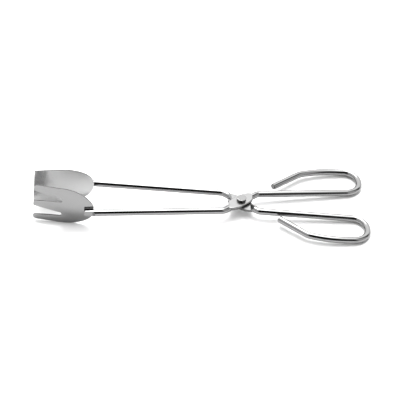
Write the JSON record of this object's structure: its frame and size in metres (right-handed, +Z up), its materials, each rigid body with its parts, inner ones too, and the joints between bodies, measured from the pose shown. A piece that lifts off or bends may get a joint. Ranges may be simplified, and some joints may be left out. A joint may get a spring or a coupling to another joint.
{
  "type": "serving tongs",
  "caption": "Scissor-action serving tongs of bent wire, with open handle bows, a riveted pivot, and a plain spade blade facing a pronged fork blade.",
  "frame": {"origin": "centre of the bounding box, on the surface that the tongs lie on", "axes": "+X along the tongs towards the handles, +Z up, +Y to the side of the spade blade"},
  "size_m": [0.2992, 0.0964, 0.0424],
  "materials": {
    "wire": "bright plated, polished",
    "blade": "satin",
    "rivet": "bright"
  },
  "bodies": {
    "spade_half": {"spade_arm": "wire", "spade_blade": "blade", "pivot_rivet": "rivet"},
    "fork_half": {"fork_arm": "wire", "fork_blade": "blade"}
  },
  "joints": [
    {"name": "scissor_pivot", "type": "hinge", "parent": "spade_half", "child": "fork_half", "pos_m": [0.03629, 0, 0.00947], "axis": [0.0585, 0, 0.9983], "range_deg": [-4.9, 70]}
  ]
}
